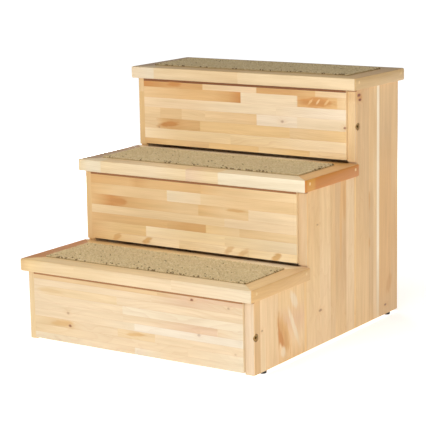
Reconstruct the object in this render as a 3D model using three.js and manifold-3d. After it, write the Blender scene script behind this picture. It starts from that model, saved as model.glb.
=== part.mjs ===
// Three-step wooden pet stairs with carpeted treads, in millimetres, +Z up.
// The origin is the middle of the footprint on the floor. The front faces -Y and +X is the right side.
import * as THREE from 'three';
import { mergeVertices } from 'three/addons/utils/BufferGeometryUtils.js';
import Module from 'manifold-3d';

const wasm = await Module();
wasm.setup();

// Steps
const STEPS = ['lower', 'middle', 'upper'];
const FIRST_RISE = 121;        // underside of the side panels to the lower tread's top
const RISE = 126;              // tread top to tread top
const RUN = 142;               // tread front to tread front
const FOOT_HEIGHT = 5;

// Treads: a mitred frame of four boards round a dropped-in panel that carries the carpet
const TREAD_WIDTH = 400;
const TREAD_DEPTH = 157;
const TREAD_THICKNESS = 18;
const TREAD_CORNER_RADIUS = 3;
const TREAD_EDGE_RADIUS = 2;
const FRONT_OVERHANG = 12;     // tread front past the side panels' front edges
const REAR_OVERHANG = 11;      // upper tread past the side panels' rear edges
const SIDE_OVERHANG = 5;
const FIT_GAP = 0.3;           // working clearance between neighbouring boards
const FRAME_BORDER = 27;       // face width of the frame boards beside the carpet
const FRAME_LEDGE = 10;        // how far the frame reaches in under the panel
const MITRE_GAP = 0.2;
const TREAD_PANEL_THICKNESS = 12;

// Side panels
const PANEL_THICKNESS = 14;
const PANEL_EDGE_RADIUS = 3;
const PANEL_TREAD_GAP = 2.5;   // a panel's front edge stops this far above the tread below it

// Risers
const RISER_THICKNESS = 18;
const RISER_PROUD = 4;         // riser face in front of the side panels' front edges
const RISER_TREAD_GAP = 5;     // open slot between a tread and the riser that stands behind it
const RISER_FLOOR_GAP = 3;     // lower riser above the side panels' underside

// Thin back panel, held in grooves in the side panels
const BACK_THICKNESS = 5;
const BACK_SETBACK = 12;       // back face in front of the side panels' rear edges
const BACK_TONGUE = 6;         // how far it reaches into each groove
const BACK_FLOOR_GAP = 3;      // lower edge above the side panels' underside

// Carpet pads, as large as the frames' openings
const CARPET_THICKNESS = 3;
const CARPET_CORNER_RADIUS = 4;

// Cleats under the treads
const CLEAT_WIDTH = 18;
const CLEAT_HEIGHT = 20;
const CLEAT_FRONT_SETBACK = 22;  // behind the side panel's front edge, clear of the riser
const CLEAT_LENGTH = 90;
const CLEAT_SCREW_OFFSET = 4;    // screw axis from the cleat's middle, towards the side panel

// Furniture bolts through the side panels into the lower and upper risers
const BOLT_SETBACK = 6.2;        // bolt axis behind the side panel's front edge
const BOLT_HEIGHT = 49;          // bolt axis above the riser's lower edge
const BOLT_HEAD_RADIUS = 5.4;
const BOLT_HEAD_HEIGHT = 2.2;
const BOLT_HEAD_RECESS = 0.8;    // head top below the panel's face
const BOLT_HEAD_CHAMFER = 0.5;
const BOLT_SHANK_RADIUS = 3;
const BOLT_TIP_CHAMFER = 1;
const BOLT_LENGTH = 50;
const BOLT_SOCKET_FLATS = 4;
const BOLT_SOCKET_DEPTH = 2.8;
const BOLT_CLEARANCE = 0.3;
const BARREL_RADIUS = 5;
const BARREL_LENGTH = 12;
const BARREL_INSET = 28;         // barrel nut axis from the riser's end
const BARREL_SLOT_WIDTH = 1.4;
const BARREL_SLOT_DEPTH = 1.2;

// Dowels between the risers and the side panels
const DOWEL_RADIUS = 4;
const DOWEL_LENGTH = 28;
const DOWEL_IN_PANEL = 8;
const DOWEL_CHAMFER = 1;
const DOWEL_CLEARANCE = 0.2;
const DOWEL_EDGE_INSET = 22;     // dowel axis from the riser's upper and lower edges

// Screws that hold the treads to the cleats
const SCREW_HEAD_RADIUS = 3.5;
const SCREW_HEAD_HEIGHT = 2.4;
const SCREW_SHANK_RADIUS = 1.75;
const SCREW_LENGTH = 30;
const SCREW_TIP_LENGTH = 4;
const SCREW_RECESS_WIDTH = 0.9;
const SCREW_RECESS_SPAN = 3.6;
const SCREW_RECESS_DEPTH = 1.6;
const SCREW_CLEARANCE = 0.25;

// Feet under the side panels, each held by a nail
const FOOT_RADIUS = 5.5;
const FOOT_CHAMFER = 0.8;
const FOOT_RECESS_RADIUS = 3.2;
const FOOT_RECESS_DEPTH = 2;
const FOOT_FRONT_SETBACK = 33;   // behind the lower section's front edge
const FOOT_REAR_INSET = 24;      // in front of the side panel's rear edge
const NAIL_HEAD_RADIUS = 2.6;
const NAIL_HEAD_HEIGHT = 0.8;
const NAIL_SHANK_RADIUS = 0.9;
const NAIL_LENGTH = 16;
const NAIL_TIP_LENGTH = 2;
const NAIL_CLEARANCE = 0.2;

const CUT_REACH = 1;             // how far a cutting tool runs past a face, and a hole past what it holds
const MERGE_TOLERANCE = 1e-4;
const HEAD_SIDES = 24;
const ROUND_SIDES = 16;
const SMALL_ROUND_SIDES = 12;
const CORNER_STEPS = 3;

// Places worked out from the driving dimensions
const TOTAL_DEPTH = (STEPS.length - 1) * RUN + TREAD_DEPTH;
const PANEL_OUTSIDE = TREAD_WIDTH / 2 - SIDE_OVERHANG;
const PANEL_INSIDE = PANEL_OUTSIDE - PANEL_THICKNESS;
const PANEL_MIDDLE = PANEL_OUTSIDE - PANEL_THICKNESS / 2;
const RISER_LENGTH = 2 * (PANEL_INSIDE - FIT_GAP);
const PANEL_REAR = TOTAL_DEPTH / 2 - REAR_OVERHANG;
const treadFront = (step) => -TOTAL_DEPTH / 2 + step * RUN;
const treadTop = (step) => FOOT_HEIGHT + FIRST_RISE + step * RISE;
const treadUnderside = (step) => treadTop(step) - TREAD_THICKNESS;
const sectionFront = (step) => treadFront(step) + FRONT_OVERHANG;
const riserBottom = (step) => (
  step === 0 ? FOOT_HEIGHT + RISER_FLOOR_GAP : treadTop(step - 1) + RISER_TREAD_GAP
);
const riserTop = (step) => treadUnderside(step) - FIT_GAP;
const riserMiddleY = (step) => sectionFront(step) - RISER_PROUD + RISER_THICKNESS / 2;
const boltY = (step) => sectionFront(step) + BOLT_SETBACK;
const boltZ = (step) => riserBottom(step) + BOLT_HEIGHT;
const isBolted = (step) => step !== 1;
const dowelHeights = (step) => {
  const high = riserTop(step) - DOWEL_EDGE_INSET;
  return isBolted(step) ? { high } : { low: riserBottom(step) + DOWEL_EDGE_INSET, high };
};
const cleatFront = (step) => sectionFront(step) + CLEAT_FRONT_SETBACK;
const screwY = (step) => cleatFront(step) + CLEAT_LENGTH / 2;
const backFaceY = PANEL_REAR - BACK_SETBACK;
const cleatX = (side) => side * (PANEL_INSIDE - FIT_GAP - CLEAT_WIDTH / 2);
const screwX = (side) => cleatX(side) + side * CLEAT_SCREW_OFFSET;
const footDepths = {
  front: sectionFront(0) + FOOT_FRONT_SETBACK,
  rear: PANEL_REAR - FOOT_REAR_INSET,
};
const CARPET_WIDTH = TREAD_WIDTH - 2 * FRAME_BORDER;
const CARPET_DEPTH = TREAD_DEPTH - 2 * FRAME_BORDER;
const SIDES = { left: -1, right: 1 };

const wood = new THREE.MeshStandardMaterial({ color: 0xf0cf9c, roughness: 0.5, metalness: 0 });
const plywood = new THREE.MeshStandardMaterial({ color: 0xd8b98a, roughness: 0.8, metalness: 0 });
const dowelWood = new THREE.MeshStandardMaterial({ color: 0xd9b380, roughness: 0.7, metalness: 0 });
const carpet = new THREE.MeshStandardMaterial({ color: 0xa8946a, roughness: 1, metalness: 0 });
const zincYellow = new THREE.MeshStandardMaterial({ color: 0xb59a55, roughness: 0.35, metalness: 1 });
const steel = new THREE.MeshStandardMaterial({ color: 0xa8aaad, roughness: 0.4, metalness: 1 });
const blackPlastic = new THREE.MeshStandardMaterial({ color: 0x141414, roughness: 0.6, metalness: 0 });

const group = new THREE.Group();

// Booleans ---------------------------------------------------------------

function toSolid(geometry) {
  const bare = geometry.clone();
  bare.deleteAttribute('normal');
  bare.deleteAttribute('uv');
  const merged = mergeVertices(bare, MERGE_TOLERANCE);
  return new wasm.Manifold(new wasm.Mesh({
    numProp: 3,
    vertProperties: new Float32Array(merged.attributes.position.array),
    triVerts: new Uint32Array(merged.index.array),
  }));
}

function toGeometry(solid) {
  const mesh = solid.getMesh();
  const geometry = new THREE.BufferGeometry();
  geometry.setAttribute('position', new THREE.BufferAttribute(new Float32Array(mesh.vertProperties), 3));
  geometry.setIndex(new THREE.BufferAttribute(new Uint32Array(mesh.triVerts), 1));
  geometry.computeVertexNormals();
  return geometry;
}

function common(geometry, other) {
  return toGeometry(toSolid(geometry).intersect(toSolid(other)));
}

function cut(geometry, tools) {
  let solid = toSolid(geometry);
  for (const tool of tools) {
    solid = solid.subtract(toSolid(tool));
  }
  return toGeometry(solid);
}

function join(geometries) {
  let solid = toSolid(geometries[0]);
  for (const piece of geometries.slice(1)) {
    solid = solid.add(toSolid(piece));
  }
  return toGeometry(solid);
}

// Basic shapes -----------------------------------------------------------

function block(x0, x1, y0, y1, z0, z1) {
  const geometry = new THREE.BoxGeometry(Math.abs(x1 - x0), y1 - y0, z1 - z0);
  return geometry.translate((x0 + x1) / 2, (y0 + y1) / 2, (z0 + z1) / 2);
}

// A cylinder along X, Y or Z between two ends, on the axis through (u, v) in the other two directions.
function rod(axis, radius, end0, end1, u, v, sides = ROUND_SIDES) {
  const geometry = new THREE.CylinderGeometry(radius, radius, Math.abs(end1 - end0), sides);
  const middle = (end0 + end1) / 2;
  if (axis === 'x') return geometry.rotateZ(Math.PI / 2).translate(middle, u, v);
  if (axis === 'y') return geometry.translate(u, middle, v);
  return geometry.rotateX(Math.PI / 2).translate(u, v, middle);
}

function roundedRectangle(width, depth, radius) {
  const x = width / 2;
  const y = depth / 2;
  const shape = new THREE.Shape();
  shape.moveTo(-x + radius, -y);
  shape.lineTo(x - radius, -y);
  shape.absarc(x - radius, -y + radius, radius, -Math.PI / 2, 0, false);
  shape.lineTo(x, y - radius);
  shape.absarc(x - radius, y - radius, radius, 0, Math.PI / 2, false);
  shape.lineTo(-x + radius, y);
  shape.absarc(-x + radius, y - radius, radius, Math.PI / 2, Math.PI, false);
  shape.lineTo(-x, -y + radius);
  shape.absarc(-x + radius, -y + radius, radius, Math.PI, Math.PI * 1.5, false);
  return shape;
}

// A board lying flat, centred on the origin, with rounded corners and softened edges.
function softBoard(width, depth, thickness, cornerRadius, edgeRadius) {
  const outline = roundedRectangle(
    width - 2 * edgeRadius, depth - 2 * edgeRadius, cornerRadius - edgeRadius / 2,
  );
  const geometry = new THREE.ExtrudeGeometry(outline, {
    depth: thickness - 2 * edgeRadius,
    curveSegments: CORNER_STEPS,
    bevelEnabled: true,
    bevelThickness: edgeRadius,
    bevelSize: edgeRadius,
    bevelSegments: CORNER_STEPS - 1,
  });
  return geometry.translate(0, 0, edgeRadius - thickness / 2);
}

// One vertical slab of a side panel, with its two outer vertical edges rounded.
function panelSlab(side, front, bottom, top) {
  const shape = new THREE.Shape();
  const inside = PANEL_INSIDE;
  const outside = PANEL_OUTSIDE;
  const r = PANEL_EDGE_RADIUS;
  shape.moveTo(inside, front);
  shape.lineTo(outside - r, front);
  shape.absarc(outside - r, front + r, r, -Math.PI / 2, 0, false);
  shape.lineTo(outside, PANEL_REAR - r);
  shape.absarc(outside - r, PANEL_REAR - r, r, 0, Math.PI / 2, false);
  shape.lineTo(inside, PANEL_REAR);
  const geometry = new THREE.ExtrudeGeometry(shape, {
    depth: top - bottom, curveSegments: CORNER_STEPS, bevelEnabled: false,
  });
  geometry.translate(0, 0, bottom);
  return side > 0 ? geometry : mirrored(geometry);
}

// The same shape on the other side of the middle plane, with its faces still pointing out.
function mirrored(geometry) {
  return toGeometry(toSolid(geometry).mirror([1, 0, 0]));
}

function addMesh(name, geometry, material, x = 0, y = 0, z = 0) {
  const mesh = new THREE.Mesh(geometry, material);
  mesh.name = name;
  mesh.position.set(x, y, z);
  group.add(mesh);
  return mesh;
}

// Boards -----------------------------------------------------------------

// Stepped side panel: each section stands back by one run, and the lower treads tuck into small notches.
function sidePanel(sideName, side) {
  const slabs = [panelSlab(side, sectionFront(0), FOOT_HEIGHT, treadUnderside(0))];
  for (let step = 1; step < STEPS.length; step += 1) {
    const tuckedFront = treadFront(step - 1) + TREAD_DEPTH + FIT_GAP;
    slabs.push(panelSlab(side, tuckedFront, FOOT_HEIGHT, treadUnderside(step)));
    const stripBottom = treadTop(step - 1) + PANEL_TREAD_GAP;
    slabs.push(panelSlab(side, sectionFront(step), stripBottom, treadUnderside(step)));
  }
  const body = join(slabs);

  const inner = side * PANEL_INSIDE;
  const toolStart = inner - side * CUT_REACH;
  const holes = [];
  for (let step = 0; step < STEPS.length; step += 1) {
    for (const height of Object.values(dowelHeights(step))) {
      const holeEnd = inner + side * (DOWEL_IN_PANEL + CUT_REACH);
      holes.push(rod('x', DOWEL_RADIUS + DOWEL_CLEARANCE, toolStart, holeEnd,
        riserMiddleY(step), height, SMALL_ROUND_SIDES));
    }
    if (isBolted(step)) {
      const outer = side * (PANEL_OUTSIDE + CUT_REACH);
      const seat = side * (PANEL_OUTSIDE - BOLT_HEAD_RECESS - BOLT_HEAD_HEIGHT - BOLT_CLEARANCE);
      holes.push(rod('x', BOLT_SHANK_RADIUS + BOLT_CLEARANCE, toolStart, outer,
        boltY(step), boltZ(step), SMALL_ROUND_SIDES));
      holes.push(rod('x', BOLT_HEAD_RADIUS + BOLT_CLEARANCE, seat, outer,
        boltY(step), boltZ(step), HEAD_SIDES));
    }
  }
  const grooveFront = backFaceY - BACK_THICKNESS - FIT_GAP;
  holes.push(block(toolStart, inner + side * BACK_TONGUE, grooveFront, backFaceY + FIT_GAP,
    FOOT_HEIGHT - CUT_REACH, treadTop(STEPS.length - 1)));
  for (const depth of Object.values(footDepths)) {
    const top = FOOT_HEIGHT + NAIL_LENGTH;
    holes.push(rod('z', NAIL_SHANK_RADIUS + NAIL_CLEARANCE, FOOT_HEIGHT - CUT_REACH, top,
      side * PANEL_MIDDLE, depth, SMALL_ROUND_SIDES));
  }
  addMesh(`side_panel_${sideName}`, cut(body, holes), wood);
}

// Riser board between the side panels, drilled at both ends for its dowels and, where bolted, its bolts.
function riser(stepName, step) {
  const halfLength = RISER_LENGTH / 2;
  const front = riserMiddleY(step) - RISER_THICKNESS / 2;
  const back = front + RISER_THICKNESS;
  const board = block(-halfLength, halfLength, front, back, riserBottom(step), riserTop(step));
  const holes = [];
  for (const side of Object.values(SIDES)) {
    const end = side * (halfLength + CUT_REACH);
    const dowelEnd = side * (PANEL_INSIDE + DOWEL_IN_PANEL - DOWEL_LENGTH - CUT_REACH);
    for (const height of Object.values(dowelHeights(step))) {
      holes.push(rod('x', DOWEL_RADIUS + DOWEL_CLEARANCE, dowelEnd, end,
        riserMiddleY(step), height, SMALL_ROUND_SIDES));
    }
    if (isBolted(step)) {
      const boltEnd = side * (PANEL_OUTSIDE - BOLT_LENGTH - CUT_REACH);
      holes.push(rod('x', BOLT_SHANK_RADIUS + BOLT_CLEARANCE, boltEnd, end,
        boltY(step), boltZ(step), SMALL_ROUND_SIDES));
      holes.push(rod('y', BARREL_RADIUS + DOWEL_CLEARANCE, back - BARREL_LENGTH - CUT_REACH, back + CUT_REACH,
        side * (halfLength - BARREL_INSET), boltZ(step)));
    }
  }
  addMesh(`riser_${stepName}`, cut(board, holes), wood);
}

// Back panel that closes the hollow under the treads; its edges sit in the side panels' grooves.
function backPanel() {
  const reach = PANEL_INSIDE + BACK_TONGUE - FIT_GAP;
  const bottom = FOOT_HEIGHT + BACK_FLOOR_GAP;
  const top = treadUnderside(STEPS.length - 1) - FIT_GAP;
  addMesh('back_panel', block(-reach, reach, backFaceY - BACK_THICKNESS, backFaceY, bottom, top), wood);
}

// A wedge that holds one board of a tread's frame: its ends follow the mitres from the tread's corners.
function mitreWedge(halfLength, halfWidth) {
  const reach = FRAME_BORDER + FRAME_LEDGE + CUT_REACH;
  const slack = MITRE_GAP / Math.SQRT2;
  const long = halfLength + CUT_REACH - slack;
  const short = halfLength - reach - slack;
  const shape = new THREE.Shape();
  shape.moveTo(-long, -halfWidth - CUT_REACH);
  shape.lineTo(long, -halfWidth - CUT_REACH);
  shape.lineTo(short, -halfWidth + reach);
  shape.lineTo(-short, -halfWidth + reach);
  const height = TREAD_THICKNESS + 2 * CUT_REACH;
  const geometry = new THREE.ExtrudeGeometry(shape, { depth: height, bevelEnabled: false });
  return geometry.translate(0, 0, -height / 2);
}

// Mitred frame of a tread, rebated for the panel, with a blind pilot hole under each side board.
function treadFrame(stepName, step) {
  const outline = softBoard(
    TREAD_WIDTH, TREAD_DEPTH, TREAD_THICKNESS, TREAD_CORNER_RADIUS, TREAD_EDGE_RADIUS,
  );
  const top = TREAD_THICKNESS / 2;
  const seat = top - TREAD_PANEL_THICKNESS - FIT_GAP;
  const x = CARPET_WIDTH / 2;
  const y = CARPET_DEPTH / 2;
  const middleY = treadFront(step) + TREAD_DEPTH / 2;
  const middleZ = treadTop(step) - top;
  const tools = [
    block(-x, x, -y, y, seat, top + CUT_REACH),
    block(-x + FRAME_LEDGE, x - FRAME_LEDGE, -y + FRAME_LEDGE, y - FRAME_LEDGE, -top - CUT_REACH, top),
  ];
  for (const side of Object.values(SIDES)) {
    const pilotTop = -top + SCREW_LENGTH - CLEAT_HEIGHT + CUT_REACH;
    tools.push(rod('z', SCREW_SHANK_RADIUS + SCREW_CLEARANCE, -top - CUT_REACH, pilotTop,
      screwX(side), screwY(step) - middleY, SMALL_ROUND_SIDES));
  }
  const frame = cut(outline, tools);
  const longWedge = () => mitreWedge(TREAD_WIDTH / 2, TREAD_DEPTH / 2);
  const shortWedge = () => mitreWedge(TREAD_DEPTH / 2, TREAD_WIDTH / 2);
  const wedges = {
    front: longWedge(),
    rear: longWedge().rotateZ(Math.PI),
    right: shortWedge().rotateZ(Math.PI / 2),
    left: shortWedge().rotateZ(-Math.PI / 2),
  };
  for (const [place, wedge] of Object.entries(wedges)) {
    addMesh(`tread_${stepName}_${place}`, common(frame, wedge), wood, 0, middleY, middleZ);
  }
}

// Plywood panel on the frame's ledge, level with the top of the frame.
function treadPanel(stepName, step) {
  const x = CARPET_WIDTH / 2 - FIT_GAP;
  const y = CARPET_DEPTH / 2 - FIT_GAP;
  const middleY = treadFront(step) + TREAD_DEPTH / 2;
  const top = treadTop(step);
  addMesh(`tread_${stepName}_panel`, block(-x, x, middleY - y, middleY + y, top - TREAD_PANEL_THICKNESS, top),
    plywood);
}

// Plain solid of the carpet pad that covers a tread's panel.
function carpetPad(stepName, step) {
  const geometry = new THREE.ExtrudeGeometry(
    roundedRectangle(CARPET_WIDTH, CARPET_DEPTH, CARPET_CORNER_RADIUS),
    { depth: CARPET_THICKNESS, curveSegments: CORNER_STEPS, bevelEnabled: false },
  );
  addMesh(`carpet_${stepName}`, geometry, carpet, 0, treadFront(step) + TREAD_DEPTH / 2, treadTop(step));
}

// Square batten glued to the inside of a side panel, under the ends of a tread.
function cleat(stepName, step, sideName, side) {
  const top = treadUnderside(step);
  const bottom = top - CLEAT_HEIGHT;
  const x = cleatX(side);
  const front = cleatFront(step);
  const batten = block(x - CLEAT_WIDTH / 2, x + CLEAT_WIDTH / 2, front, front + CLEAT_LENGTH, bottom, top);
  const holes = [
    rod('z', SCREW_SHANK_RADIUS + SCREW_CLEARANCE, bottom - CUT_REACH, top + CUT_REACH,
      screwX(side), screwY(step), SMALL_ROUND_SIDES),
    countersink(screwX(side), screwY(step), bottom),
  ];
  addMesh(`cleat_${stepName}_${sideName}`, cut(batten, holes), wood);
}

// Cone that seats a screw head just inside the cleat's underside.
function countersink(x, y, z) {
  const slope = (SCREW_HEAD_RADIUS - SCREW_SHANK_RADIUS) / SCREW_HEAD_HEIGHT;
  const above = SCREW_HEAD_HEIGHT + SCREW_CLEARANCE;
  const height = above + CUT_REACH;
  const narrow = SCREW_SHANK_RADIUS + SCREW_CLEARANCE;
  const cone = new THREE.CylinderGeometry(narrow, narrow + slope * height, height, SMALL_ROUND_SIDES);
  return cone.rotateX(Math.PI / 2).translate(x, y, z + (above - CUT_REACH) / 2);
}

// Hardware ---------------------------------------------------------------

// Solid of revolution from (radius, height) pairs, turned to stand on +Z.
function turned(profile, sides = ROUND_SIDES) {
  const points = profile.map(([radius, height]) => new THREE.Vector2(radius, height));
  return new THREE.LatheGeometry(points, sides).rotateX(Math.PI / 2);
}

// Flat-headed connector bolt along +Z, head at the top, with a hexagon socket.
function boltGeometry() {
  const tip = -BOLT_LENGTH;
  const bolt = turned([
    [0, tip],
    [BOLT_SHANK_RADIUS - BOLT_TIP_CHAMFER, tip],
    [BOLT_SHANK_RADIUS, tip + BOLT_TIP_CHAMFER],
    [BOLT_SHANK_RADIUS, -BOLT_HEAD_HEIGHT],
    [BOLT_HEAD_RADIUS, -BOLT_HEAD_HEIGHT],
    [BOLT_HEAD_RADIUS, -BOLT_HEAD_CHAMFER],
    [BOLT_HEAD_RADIUS - BOLT_HEAD_CHAMFER, 0],
    [0, 0],
  ], HEAD_SIDES);
  const acrossCorners = BOLT_SOCKET_FLATS / Math.cos(Math.PI / 6);
  const socket = rod('z', acrossCorners / 2, -BOLT_SOCKET_DEPTH, CUT_REACH, 0, 0, 6);
  return cut(bolt, [socket]);
}

// Cross-drilled barrel nut along +Y, its slotted end facing the back.
function barrelNutGeometry() {
  const half = BARREL_LENGTH / 2;
  const barrel = rod('y', BARREL_RADIUS, -half, half, 0, 0);
  const boltOffset = barrelBoltOffset();
  const reach = BARREL_RADIUS + CUT_REACH;
  const hole = rod('x', BOLT_SHANK_RADIUS + BOLT_CLEARANCE, -reach, reach, boltOffset, 0);
  const slot = block(-reach, reach, half - BARREL_SLOT_DEPTH, half + CUT_REACH,
    -BARREL_SLOT_WIDTH / 2, BARREL_SLOT_WIDTH / 2);
  return cut(barrel, [hole, slot]);
}

// Where the bolt crosses the barrel nut, measured along Y from the nut's middle.
function barrelBoltOffset() {
  const riserBack = RISER_THICKNESS - RISER_PROUD;
  const nutMiddle = riserBack - BARREL_LENGTH / 2 - FIT_GAP;
  return BOLT_SETBACK - nutMiddle;
}

function dowelGeometry() {
  const half = DOWEL_LENGTH / 2;
  return turned([
    [0, -half],
    [DOWEL_RADIUS - DOWEL_CHAMFER, -half],
    [DOWEL_RADIUS, -half + DOWEL_CHAMFER],
    [DOWEL_RADIUS, half - DOWEL_CHAMFER],
    [DOWEL_RADIUS - DOWEL_CHAMFER, half],
    [0, half],
  ], SMALL_ROUND_SIDES);
}

// Countersunk wood screw along +Z, head at the bottom with a plain cross recess.
function screwGeometry() {
  const screw = turned([
    [0, 0],
    [SCREW_HEAD_RADIUS, 0],
    [SCREW_SHANK_RADIUS, SCREW_HEAD_HEIGHT],
    [SCREW_SHANK_RADIUS, SCREW_LENGTH - SCREW_TIP_LENGTH],
    [0, SCREW_LENGTH],
  ], SMALL_ROUND_SIDES);
  const long = SCREW_RECESS_SPAN / 2;
  const short = SCREW_RECESS_WIDTH / 2;
  const recess = join([
    block(-long, long, -short, short, -CUT_REACH, SCREW_RECESS_DEPTH),
    block(-short, short, -long, long, -CUT_REACH, SCREW_RECESS_DEPTH),
  ]);
  return cut(screw, [recess]);
}

// Round glide with a recess in its sole for the nail head.
function footGeometry() {
  return turned([
    [NAIL_SHANK_RADIUS + NAIL_CLEARANCE, FOOT_RECESS_DEPTH],
    [FOOT_RECESS_RADIUS, FOOT_RECESS_DEPTH],
    [FOOT_RECESS_RADIUS, 0],
    [FOOT_RADIUS - FOOT_CHAMFER, 0],
    [FOOT_RADIUS, FOOT_CHAMFER],
    [FOOT_RADIUS, FOOT_HEIGHT],
    [NAIL_SHANK_RADIUS + NAIL_CLEARANCE, FOOT_HEIGHT],
    [NAIL_SHANK_RADIUS + NAIL_CLEARANCE, FOOT_RECESS_DEPTH],
  ]);
}

// Nail along +Z, head at the bottom.
function nailGeometry() {
  return turned([
    [0, 0],
    [NAIL_HEAD_RADIUS, 0],
    [NAIL_HEAD_RADIUS, NAIL_HEAD_HEIGHT],
    [NAIL_SHANK_RADIUS, NAIL_HEAD_HEIGHT],
    [NAIL_SHANK_RADIUS, NAIL_LENGTH - NAIL_TIP_LENGTH],
    [0, NAIL_LENGTH],
  ], SMALL_ROUND_SIDES);
}

// A bolt and its barrel nut at each end of a bolted riser.
function riserBolts(stepName, step) {
  const bolt = boltGeometry();
  const nut = barrelNutGeometry();
  const nutY = boltY(step) - barrelBoltOffset();
  for (const [sideName, side] of Object.entries(SIDES)) {
    const headX = side * (PANEL_OUTSIDE - BOLT_HEAD_RECESS);
    const placed = addMesh(`bolt_${stepName}_${sideName}`, bolt, zincYellow, headX, boltY(step), boltZ(step));
    placed.rotation.y = side * Math.PI / 2;
    addMesh(`barrel_nut_${stepName}_${sideName}`, nut, steel,
      side * (RISER_LENGTH / 2 - BARREL_INSET), nutY, boltZ(step));
  }
}

// Dowels at each end of a riser: one high, and a low one too where no bolt holds the riser.
function riserDowels(stepName, step) {
  const dowel = dowelGeometry();
  for (const [sideName, side] of Object.entries(SIDES)) {
    const x = side * (PANEL_INSIDE + DOWEL_IN_PANEL - DOWEL_LENGTH / 2);
    for (const [place, height] of Object.entries(dowelHeights(step))) {
      const name = `dowel_${stepName}_${sideName}_${place}`;
      addMesh(name, dowel, dowelWood, x, riserMiddleY(step), height).rotation.y = Math.PI / 2;
    }
  }
}

// A screw up through each cleat into the side board of the tread's frame.
function treadScrews(stepName, step) {
  const screw = screwGeometry();
  const bottom = treadUnderside(step) - CLEAT_HEIGHT + SCREW_CLEARANCE;
  for (const [sideName, side] of Object.entries(SIDES)) {
    addMesh(`tread_screw_${stepName}_${sideName}`, screw, steel, screwX(side), screwY(step), bottom);
  }
}

function feet() {
  const foot = footGeometry();
  const nail = nailGeometry();
  const headZ = FOOT_RECESS_DEPTH - NAIL_HEAD_HEIGHT - NAIL_CLEARANCE;
  for (const [sideName, side] of Object.entries(SIDES)) {
    for (const [endName, depth] of Object.entries(footDepths)) {
      addMesh(`foot_${endName}_${sideName}`, foot, blackPlastic, side * PANEL_MIDDLE, depth, 0);
      addMesh(`foot_nail_${endName}_${sideName}`, nail, steel, side * PANEL_MIDDLE, depth, headZ);
    }
  }
}

for (const [sideName, side] of Object.entries(SIDES)) {
  sidePanel(sideName, side);
}
backPanel();
STEPS.forEach((stepName, step) => {
  riser(stepName, step);
  treadFrame(stepName, step);
  treadPanel(stepName, step);
  carpetPad(stepName, step);
  for (const [sideName, side] of Object.entries(SIDES)) {
    cleat(stepName, step, sideName, side);
  }
  riserDowels(stepName, step);
  if (isBolted(step)) riserBolts(stepName, step);
  treadScrews(stepName, step);
});
feet();

export default group;
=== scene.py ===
"""Three-step wooden pet stairs: lacquered pine, looped carpet pads, fittings, light and camera."""
import math
import random

import bpy
import numpy as np
from mathutils import Matrix, Vector


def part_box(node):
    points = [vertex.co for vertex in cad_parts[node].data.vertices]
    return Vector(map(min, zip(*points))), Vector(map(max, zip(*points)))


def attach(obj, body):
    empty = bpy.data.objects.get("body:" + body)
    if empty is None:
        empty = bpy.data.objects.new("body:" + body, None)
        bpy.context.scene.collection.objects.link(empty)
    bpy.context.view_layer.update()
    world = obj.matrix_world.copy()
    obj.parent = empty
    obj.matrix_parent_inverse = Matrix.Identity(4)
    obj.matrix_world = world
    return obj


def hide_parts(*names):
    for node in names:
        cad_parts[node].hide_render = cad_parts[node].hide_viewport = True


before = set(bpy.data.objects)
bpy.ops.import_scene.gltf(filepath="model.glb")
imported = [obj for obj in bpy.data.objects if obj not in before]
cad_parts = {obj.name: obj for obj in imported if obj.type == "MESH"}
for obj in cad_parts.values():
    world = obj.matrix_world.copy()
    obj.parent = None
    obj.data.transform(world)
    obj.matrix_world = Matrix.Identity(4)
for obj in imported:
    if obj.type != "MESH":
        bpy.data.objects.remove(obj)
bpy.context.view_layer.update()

STEPS = ("lower", "middle", "upper")
SIDES = {"left": -1, "right": 1}
MM = 0.001

# Camera
CAMERA_AZIMUTH = 33.829     # degrees to the right of the front
CAMERA_ELEVATION = 11.290
CAMERA_ROLL = -1.055
CAMERA_DISTANCE = 2.4375    # metres
CAMERA_TARGET = (-0.0022, -0.0054, 0.1737)
CAMERA_LENS = 137.72
SENSOR_WIDTH = 36

# Light: place, size and power of each soft box, all aimed at the middle of the stairs
SOFT_BOXES = {
    "key": ((0.5, -1.1, 0.8), (0.6, 0.5), 3.15),
    "fill": ((-0.3, -1.4, 0.5), (0.6, 0.5), 3.3),
    "top": ((0.0, -0.5, 1.5), (0.8, 0.8), 6.6),
    "side": ((1.5, -1.0, 0.5), (0.6, 0.5), 4.75),
    "rear": ((-1.2, 1.3, 0.3), (0.6, 0.4), 20.0),
}
LIGHT_TARGET = (0, 0, 0.17)
WORLD_STRENGTH = 0.30
FLOOR_RADIUS = 20
FLOOR_SIDES = 96
FLOOR_GREY = 0.95
FLOOR_DARK_GREY = 0.02      # painted shade under the hollow of the stairs
FLOOR_GLOW = 0.48           # keeps the floor white around the stairs
FLOOR_FAR_GLOW = 0.30       # added away from the soft boxes
FLOOR_FAR_START = 0.5
FLOOR_FAR_SPAN = 1.2
FLOOR_RIM_GLOW = 0.95       # of the strip under the bottom edges, which would be in shadow
FLOOR_RIM = (0.195, 0.210)  # half width and half depth of that strip's outline
FLOOR_DARK = (0.181, 0.186)  # half width and half depth of the dark floor inside the strip
FLOOR_DARK_BACK = 0.006     # how far the dark floor's middle lies behind the strip's

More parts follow.
